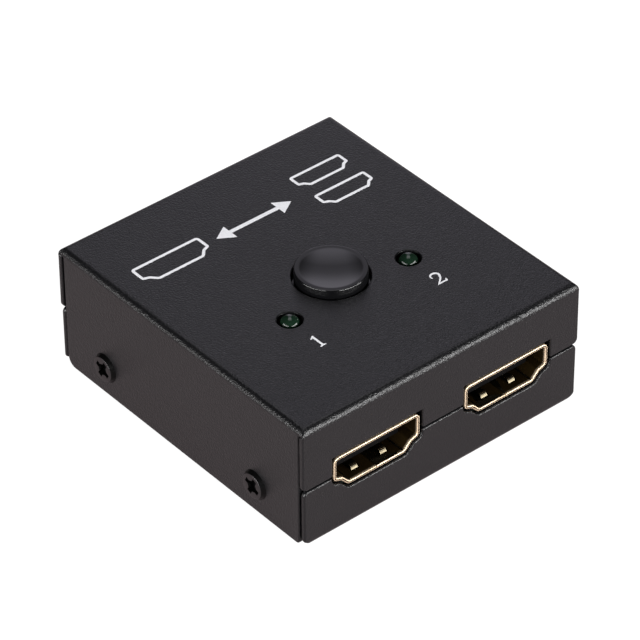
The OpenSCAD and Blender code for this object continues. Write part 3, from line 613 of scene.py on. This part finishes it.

# %% [markdown]
# ## The case screws
# The screws have thin pan heads with a cross recess, pressed by a tapered punch. The recess could be cut
# by a Boolean, but it is cleaner to leave a cross-shaped hole in the flat of the head and to let a
# smaller cross down into it. The flat keeps the satin gloss of black oxide, and the side and the recess
# are painted near-black with little gloss: painted shade on the head's side and in the recess.
# Each screw stopped where it was tight, so each cross is turned.

# %% Pan screws
HEAD_H, HEAD_FACE, HEAD_EDGE = 0.6, 3.8, 0.08
SHANK, SHANK_L = 2.44, 3
CROSS, CROSS_SLOT, CROSS_CORE, CROSS_DEPTH = 2.75, 0.78, 0.82, 0.8
CROSS_TAPER, HEAD_STEPS = 0.82, 48
TURNS = {(-1, -1): 65, (-1, 1): 62, (1, -1): 14, (1, 1): 40}


def cross(share):
    """The outline of the cross recess, whose inner corners are cut off, at a share of its full size."""
    a, b, c = CROSS / 2 * share, CROSS_SLOT / 2 * share, CROSS_CORE * share
    quarter = [(a, -b), (a, b), (c, b), (b, c)]
    return [Vector((x * cos(t) - y * sin(t), x * sin(t) + y * cos(t)))
            for t in (0, pi / 2, pi, 3 * pi / 2) for x, y in quarter]


screws = bmesh.new()
for (side, end), turn in TURNS.items():
    screw = bmesh.new()
    panel(screw, lambda x, y: (x, y, HEAD_H), circle(0, 0, HEAD_FACE - 2 * HEAD_EDGE, HEAD_STEPS),
          [cross(1)])
    ledges = []
    for share, z in ((1, HEAD_H), (CROSS_TAPER, HEAD_H - CROSS_DEPTH)):
        ledges.append([screw.verts.new((p.x, p.y, z)) for p in cross(share)])
    for k in range(len(ledges[0])):
        screw.faces.new((ledges[0][k - 1], ledges[0][k], ledges[1][k], ledges[1][k - 1]))
    screw.faces.new(ledges[1])
    section = arc(HEAD_FACE / 2 - HEAD_EDGE, HEAD_H - HEAD_EDGE, HEAD_EDGE, 90, 30, steps=4)
    section += [(HEAD / 2, 0), (SHANK / 2, 0), (SHANK / 2, -SHANK_L), (0, -SHANK_L)]
    turned(screw, section, steps=HEAD_STEPS)
    # The side and the recess, below the flat's rounded edge, take the second finish: painted shade.
    for face in screw.faces:
        face.material_index = int(face.calc_center_median().z < HEAD_H - HEAD_EDGE)
    bmesh.ops.remove_doubles(screw, verts=screw.verts, dist=MERGE)
    bmesh.ops.recalc_face_normals(screw, faces=screw.faces)
    stand = Matrix.Rotation(side * pi / 2, 4, "Y") @ Matrix.Rotation(radians(turn), 4, "Z")
    bmesh.ops.transform(screw, matrix=Matrix.Translation((side * half_w, end * screw_y, screw_z)) @ stand,
                        verts=screw.verts)
    loose = bpy.data.meshes.new("one screw")
    screw.to_mesh(loose)
    screw.free()
    screws.from_mesh(loose)
    bpy.data.meshes.remove(loose)
driven = piece("pan_screws", screws, black_oxide, "black_steel", "cover_screws")
driven.data.materials.append(shaded_oxide)

# %% [markdown]
# ## The receptacles
# The stamped shells keep their CAD shape, and only their rims and spring fingers need work: the punch
# leaves a round on the rim's edges, which draws the bright line, and the fingers curve over at their
# crests. So the CAD mesh is copied, flat triangles are joined again, and those edges are beveled. Plugs
# rub the fingers to a finer polish, so what dips into the mouth has a second finish with that polish,
# and with a darker tone that is painted shade.

# %% Shells with rounded rims
RIM_ROUND, TIP_ROUND = 0.13, 0.12
CREST, CREST_ROUND = 2, 0.3
FINGER_X, ON_PLANE = 4.7, 0.01
CAD_MERGE, CAD_FLAT = 0.002, radians(1)

mouth_high = mouth_low + MOUTH[-1][1]


def softened(node, *rounds):
    """A copy of a CAD node's mesh in millimetres. A round is a test for sharp edges and their rounding."""
    mesh = bmesh.new()
    mesh.from_mesh(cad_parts[node].data)
    bmesh.ops.scale(mesh, vec=(1 / MM, 1 / MM, 1 / MM), verts=mesh.verts)
    bmesh.ops.remove_doubles(mesh, verts=mesh.verts, dist=CAD_MERGE)
    bmesh.ops.dissolve_limit(mesh, angle_limit=CAD_FLAT, verts=mesh.verts, edges=mesh.edges)
    for chosen, width in rounds:
        edges = [e for e in mesh.edges if e.is_manifold and e.calc_face_angle() > SHARP and chosen(e)]
        bmesh.ops.bevel(mesh, geom=edges, offset=width, segments=ROUND_STEPS, profile=0.5, affect="EDGES")
    return mesh


def on_plane(edge, y):
    """Whether both ends of an edge lie on a plane across the mouth."""
    return all(abs(v.co.y - y) < ON_PLANE for v in edge.verts)


for number in (1, 2, 3):
    node = f"port_{number}_shell"
    low, high = box_mm(node)
    rim_y, inward = (low.y, 1) if number < 3 else (high.y, -1)
    shell = softened(node, (lambda e: on_plane(e, rim_y), RIM_ROUND),
                     (lambda e: on_plane(e, rim_y + CREST * inward), CREST_ROUND))
    # Faces inside the mouth take the second finish, whose darker tone is painted shade.
    for face in shell.faces:
        spot = face.calc_center_median()
        inside = mouth_low < spot.z < mouth_high
        face.material_index = int(inside and abs(spot.x - middle(node).x) < FINGER_X)
    plated = piece(f"plated_shell_{number}", shell, gold_flash, "gold_plate", node)
    plated.data.materials.append(rubbed_and_shaded_flash)
    node = f"port_{number}_insulator"
    tip_y = box_mm(node)[0 if number < 3 else 1].y
    tongue = softened(node, (lambda e: on_plane(e, tip_y), TIP_ROUND))
    piece(f"moulded_tongue_{number}", tongue, matt_polymer, "black_insulator", node)

# %% [markdown]
# ## Printed marks
# The cover carries white print: a number beside each lamp, and behind the button a plain sign for
# what the box does, one receptacle linked both ways with two. Ink is a film, so the marks are thin
# ribbons and outlines that lie on the cover and are as thick as a coat of ink.

# %% Ink shapes
INK, INK_SUNK = 0.02, 0.01


def ribbon(path, widths, closed=False):
    """Outline pairs of a pen stroke along a path, with mitred corners, as a list of left and right points."""
    sides = []
    count = len(path)
    for i, here in enumerate(path):
        before = path[i - 1] if i or closed else here
        after = path[(i + 1) % count] if i + 1 < count or closed else here
        a = (here - before).normalized() if here != before else (after - here).normalized()
        b = (after - here).normalized() if here != after else a
        normal_a, normal_b = Vector((-a.y, a.x)), Vector((-b.y, b.x))
        step = (normal_a + normal_b) / (1 + normal_a.dot(normal_b)) * widths[i] / 2
        sides.append((here + step, here - step))
    return sides


def ink_strip(mesh, sides, place, closed=False):
    """A thin raised film between the left and right points of a stroke."""
    lift = height + INK
    tops = [[mesh.verts.new((*(place + p), lift)) for p in pair] for pair in sides]
    pairs = list(zip(tops, tops[1:])) + ([(tops[-1], tops[0])] if closed else [])
    for a, b in pairs:
        mesh.faces.new((a[0], a[1], b[1], b[0]))


def ink_shape(mesh, points, place):
    """A thin raised film inside an outline."""
    mesh.faces.new([mesh.verts.new((*(place + Vector(p)), height + INK)) for p in points])

# %% Numbers and signs
NUMBER_PLACES = {1: Vector((-10.5, -12.6)), 2: Vector((10.5, -12.7))}
SIGN_Y, SIGN_MIDDLE, SIGN_LINE = 13.4, 2.27, 0.42
SIGNS = [(-14.2, 0, 0.8), (14.2, 2.7, 0.62), (14.2, -2.7, 0.62)]
BOWL_X, BOWL_Y, BOWL_HEIGHT = 0.66, 0.6, 0.55
THIN, THICKER, THICK_AFTER = 0.16, 0.15, 8

marks = bmesh.new()
one = [(-0.52, -1.25), (0.52, -1.25), (0.47, -1.13), (0.22, -1.06), (0.16, -0.9), (0.16, 1.25), (0.04, 1.25),
       (-0.55, 0.84), (-0.48, 0.72), (-0.16, 0.85), (-0.16, -0.9), (-0.22, -1.06), (-0.47, -1.13)]
ink_shape(marks, one, NUMBER_PLACES[1])
turns = [radians(a) for a in range(200, -31, -15)]
bowl = [Vector((BOWL_X * cos(a), BOWL_HEIGHT + BOWL_Y * sin(a))) for a in turns]
two = bowl + [Vector(p) for p in ((0.3, -0.25), (-0.68, -1.1), (0.72, -1.1), (0.82, -0.72))]
widths = [THIN + THICKER * min(1, i / THICK_AFTER) for i in range(len(bowl))] + [0.25, 0.2, 0.24, THIN]
ink_strip(marks, ribbon(two, widths), NUMBER_PLACES[2])
sign = [(x, z - SIGN_MIDDLE, r) for x, z, r in moved_out(MOUTH, 0)]
for x, y, scale in SIGNS:
    loop = [p * scale for p in outline(sign, steps=4)]
    stroke = ribbon(loop, [SIGN_LINE] * len(loop), closed=True)
    ink_strip(marks, stroke, Vector((x, SIGN_Y + y)), closed=True)
arrow = [(-6.6, 0), (-4.2, -1.5), (-4.2, -0.32), (4.2, -0.32), (4.2, -1.5), (6.6, 0), (4.2, 1.5), (4.2, 0.32),
         (-4.2, 0.32), (-4.2, 1.5)]
ink_shape(marks, arrow, Vector((0, SIGN_Y)))
film = bmesh.ops.extrude_face_region(marks, geom=marks.faces[:])["geom"]
lower = [part for part in film if isinstance(part, bmesh.types.BMVert)]
bmesh.ops.translate(marks, vec=(0, 0, -INK - INK_SUNK), verts=lower)
bmesh.ops.recalc_face_normals(marks, faces=marks.faces)
piece("printed_marks", marks, white_ink, "powder_coat")

# %% [markdown]
# ## The return spring
# The spring under the button shortens as the button goes down, which a rigid piece can't do. Here its
# wire is drawn anew as a round coil in the box of its CAD node, at rest, and given a mesh of its own.

# %% Return spring
WIRE, WIRE_SIDES = 0.3, 12
COIL_TURNS, COIL_STEPS = 3, 96

low, high = box_mm("switch_spring")
foot = Vector(((low.x + high.x) / 2, (low.y + high.y) / 2, low.z + WIRE / 2))
coil_r, rise = (high.x - low.x - WIRE) / 2, high.z - low.z - WIRE
round_wire = [2 * pi * k / WIRE_SIDES for k in range(WIRE_SIDES)]
spring = bmesh.new()
rings = []
for k in range(COIL_STEPS + 1):
    turn = 2 * pi * COIL_TURNS * k / COIL_STEPS
    out, climb = Vector((cos(turn), sin(turn), 0)), Vector((0, 0, 1))
    centre = foot + out * coil_r + climb * rise * k / COIL_STEPS
    rings.append([spring.verts.new(centre + (out * cos(a) + climb * sin(a)) * WIRE / 2) for a in round_wire])
for here, there in zip(rings, rings[1:]):
    for k in range(WIRE_SIDES):
        spring.faces.new((here[k - 1], here[k], there[k], there[k - 1]))
spring.faces.new(rings[0])
spring.faces.new(rings[-1])
bmesh.ops.recalc_face_normals(spring, faces=spring.faces)
coil = piece("return_spring", spring, nickel, "plated_steel", "switch_spring")
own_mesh(coil)

# %% [markdown]
# ## Inner pieces
# What the case hides keeps its CAD shape, because nothing there shows at arm's length. Each node
# still gets the finish of its real material, so an opened box would look right.

# %% Finishes of the inner pieces
INNER = {
    solder_mask: ["circuit_board"],
    nickel: ["board_standoffs", "board_screws", "switch_latch_pin"],
    gold_contact: ["port_1_contacts", "port_2_contacts", "port_3_contacts"],
    matt_polymer: ["switch_base", "switch_housing", "signal_switch_chip", "surge_arrays", "chip_resistors"],
    white_nylon: ["switch_plunger"],
    bronze: ["switch_bridges"],
    bright_tin: ["switch_terminals", "led_1_leads", "led_2_leads"],
    fired_ceramic: ["chip_capacitors"],
}
for material, nodes in INNER.items():
    for node in nodes:
        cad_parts[node].data.materials.clear()
        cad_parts[node].data.materials.append(material)
print("Inner pieces:", sum(len(nodes) for nodes in INNER.values()))

# %% [markdown]
# ## The studio
# The box stands on white paper. On the right and on the left a wide soft box stands low, with a bright
# strip below it, a dim square one hangs above, and a narrow white card rises behind. Black gloss shows
# mostly what it mirrors, so the dark room beside the card matters as much as the lamps: it is what
# draws the dark line along the bends.

# %% Floor
WHITE, FLOOR_MIRRORED = 0.88, 0.4
PAPER, WARM = "#8a8a8a", "#ffe4e7"
FLOOR_HALF, FLOOR_GRID, FLOOR_DROP = 3, 8, 0.04

paper = bpy.data.materials.new("white paper")
paper.use_nodes = True
tree = paper.node_tree
tree.nodes.clear()
path = add(tree, "LightPath")
mirrored = add(tree, "Math", {0: path.outputs["Is Glossy Ray"], 1: path.outputs["Is Transmission Ray"]},
               operation="MAXIMUM")
dimmed = add(tree, "Math", {0: mirrored.outputs[0], 1: FLOOR_MIRRORED}, operation="MULTIPLY")
level = add(tree, "Math", {0: path.outputs["Is Camera Ray"], 1: WHITE, 2: dimmed.outputs[0]},
            operation="MULTIPLY_ADD")
hue = add(tree, "Mix", {"Factor": mirrored.outputs[0], 6: linear("#ffffff"), 7: linear(WARM)},
          data_type="RGBA")
glow = add(tree, "Emission", {"Color": hue.outputs[2], "Strength": level.outputs[0]})
body = add(tree, "BsdfDiffuse", {"Color": linear(PAPER)})
both = add(tree, "AddShader", {0: glow.outputs[0], 1: body.outputs[0]})
add(tree, "OutputMaterial", {"Surface": both.outputs[0]})
sweep = bmesh.new()
bmesh.ops.create_grid(sweep, x_segments=FLOOR_GRID, y_segments=FLOOR_GRID, size=FLOOR_HALF)
floor_mesh = bpy.data.meshes.new("paper floor")
sweep.to_mesh(floor_mesh)
sweep.free()
floor_mesh.materials.append(paper)
paper_floor = bpy.data.objects.new("paper_floor", floor_mesh)
paper_floor.location.z = -FLOOR_DROP * MM
scene.collection.objects.link(paper_floor)
print("Floor at", round(paper_floor.location.z / MM, 2), "mm")

# %% Room and backdrop
AMBIENT, DARK_ROOM, BACKDROP_GAIN = 0.15, 0.02, 1.78
BEHIND, ACROSS = (0.64, 0.77, 0), (0.77, -0.64, 0)
CARD, CARD_END = 0.08, 0.28
SECTOR_START, SECTOR_FULL = 0.05, 0.4
BACKDROP = [(0.0, 0.65), (0.42, 0.72), (0.57, 0.39), (0.66, 0.35),
            (0.75, 0.66), (0.82, 1.0), (0.88, 0.8), (1.0, 0.3)]
COOL = "#f5f1ff"

room = bpy.data.worlds.new("studio")
scene.world = room
room.use_nodes = True
tree = room.node_tree
tree.nodes.clear()
path = add(tree, "LightPath")
mirrored = add(tree, "Math", {0: path.outputs["Is Glossy Ray"], 1: path.outputs["Is Transmission Ray"]},
               operation="MAXIMUM")
ray = add(tree, "TexCoord").outputs["Generated"]
behind = add(tree, "VectorMath", {0: ray, 1: BEHIND}, operation="DOT_PRODUCT")
across = add(tree, "VectorMath", {0: ray, 1: ACROSS}, operation="DOT_PRODUCT")
aside = add(tree, "Math", {0: across.outputs["Value"]}, operation="ABSOLUTE")
narrow = add(tree, "MapRange", {"Value": aside.outputs[0], "From Min": CARD_END, "From Max": CARD},
             interpolation_type="SMOOTHSTEP")
rise = add(tree, "SeparateXYZ", {"Vector": ray})
paint = add(tree, "ValToRGB", {"Fac": rise.outputs["Z"]})
while len(paint.color_ramp.elements) < len(BACKDROP):
    paint.color_ramp.elements.new(1)
for stop, (sine, shade) in zip(paint.color_ramp.elements, BACKDROP):
    stop.position, stop.color = sine, (shade, shade, shade, 1)
sector = add(tree, "MapRange", {"Value": behind.outputs["Value"], "From Min": SECTOR_START,
                                "From Max": SECTOR_FULL, "To Max": BACKDROP_GAIN},
             interpolation_type="SMOOTHSTEP")
wide = add(tree, "Math", {0: sector.outputs[0], 1: paint.outputs["Color"]}, operation="MULTIPLY")
card = add(tree, "Math", {0: wide.outputs[0], 1: narrow.outputs[0]}, operation="MULTIPLY")
level = add(tree, "Math", {0: card.outputs[0], 1: DARK_ROOM}, operation="MAXIMUM")
ambient = add(tree, "Background", {"Color": linear("#ffffff"), "Strength": AMBIENT})
backdrop = add(tree, "Background", {"Color": linear(COOL), "Strength": level.outputs[0]})
white = add(tree, "Background", {"Color": linear("#ffffff"), "Strength": 1})
lit = add(tree, "MixShader", {0: mirrored.outputs[0], 1: ambient.outputs[0], 2: backdrop.outputs[0]})
sky = add(tree, "MixShader", {0: path.outputs["Is Camera Ray"], 1: lit.outputs[0], 2: white.outputs[0]})
add(tree, "OutputWorld", {"Surface": sky.outputs[0]})
print("Room:", room.name)

# %% Soft boxes
# Each lamp's direction from the box, then its distance, width and depth in metres, and its radiance
LAMPS = {
    "right_soft_box": (Vector((0.28, -0.92, 0.27)), 0.8, 1.1, 0.28, 10.5),
    "right_strip": (Vector((0.28, -0.92, 0.15)), 0.79, 1.0, 0.07, 32),
    "left_soft_box": (Vector((-0.95, -0.02, 0.29)), 0.8, 1.04, 0.28, 7.5),
    "left_strip": (Vector((-0.95, -0.02, 0.16)), 0.79, 0.95, 0.07, 22),
    "overhead": (Vector((0.12, 0.14, 0.98)), 0.9, 0.5, 0.5, 2),
}
for name, (direction, distance, width, depth, radiance) in LAMPS.items():
    data = bpy.data.lights.new(name, "AREA")
    data.shape = "RECTANGLE"
    data.size, data.size_y = width, depth
    data.energy = radiance * pi * width * depth
    lamp = bpy.data.objects.new(name, data)
    scene.collection.objects.link(lamp)
    lamp.location = direction.normalized() * distance
    lamp.rotation_mode = "QUATERNION"
    lamp.rotation_quaternion = direction.to_track_quat("Z", "Y")
    print("Lamp:", name, round(data.energy, 2), "W")
scene.view_settings.view_transform = "Standard"
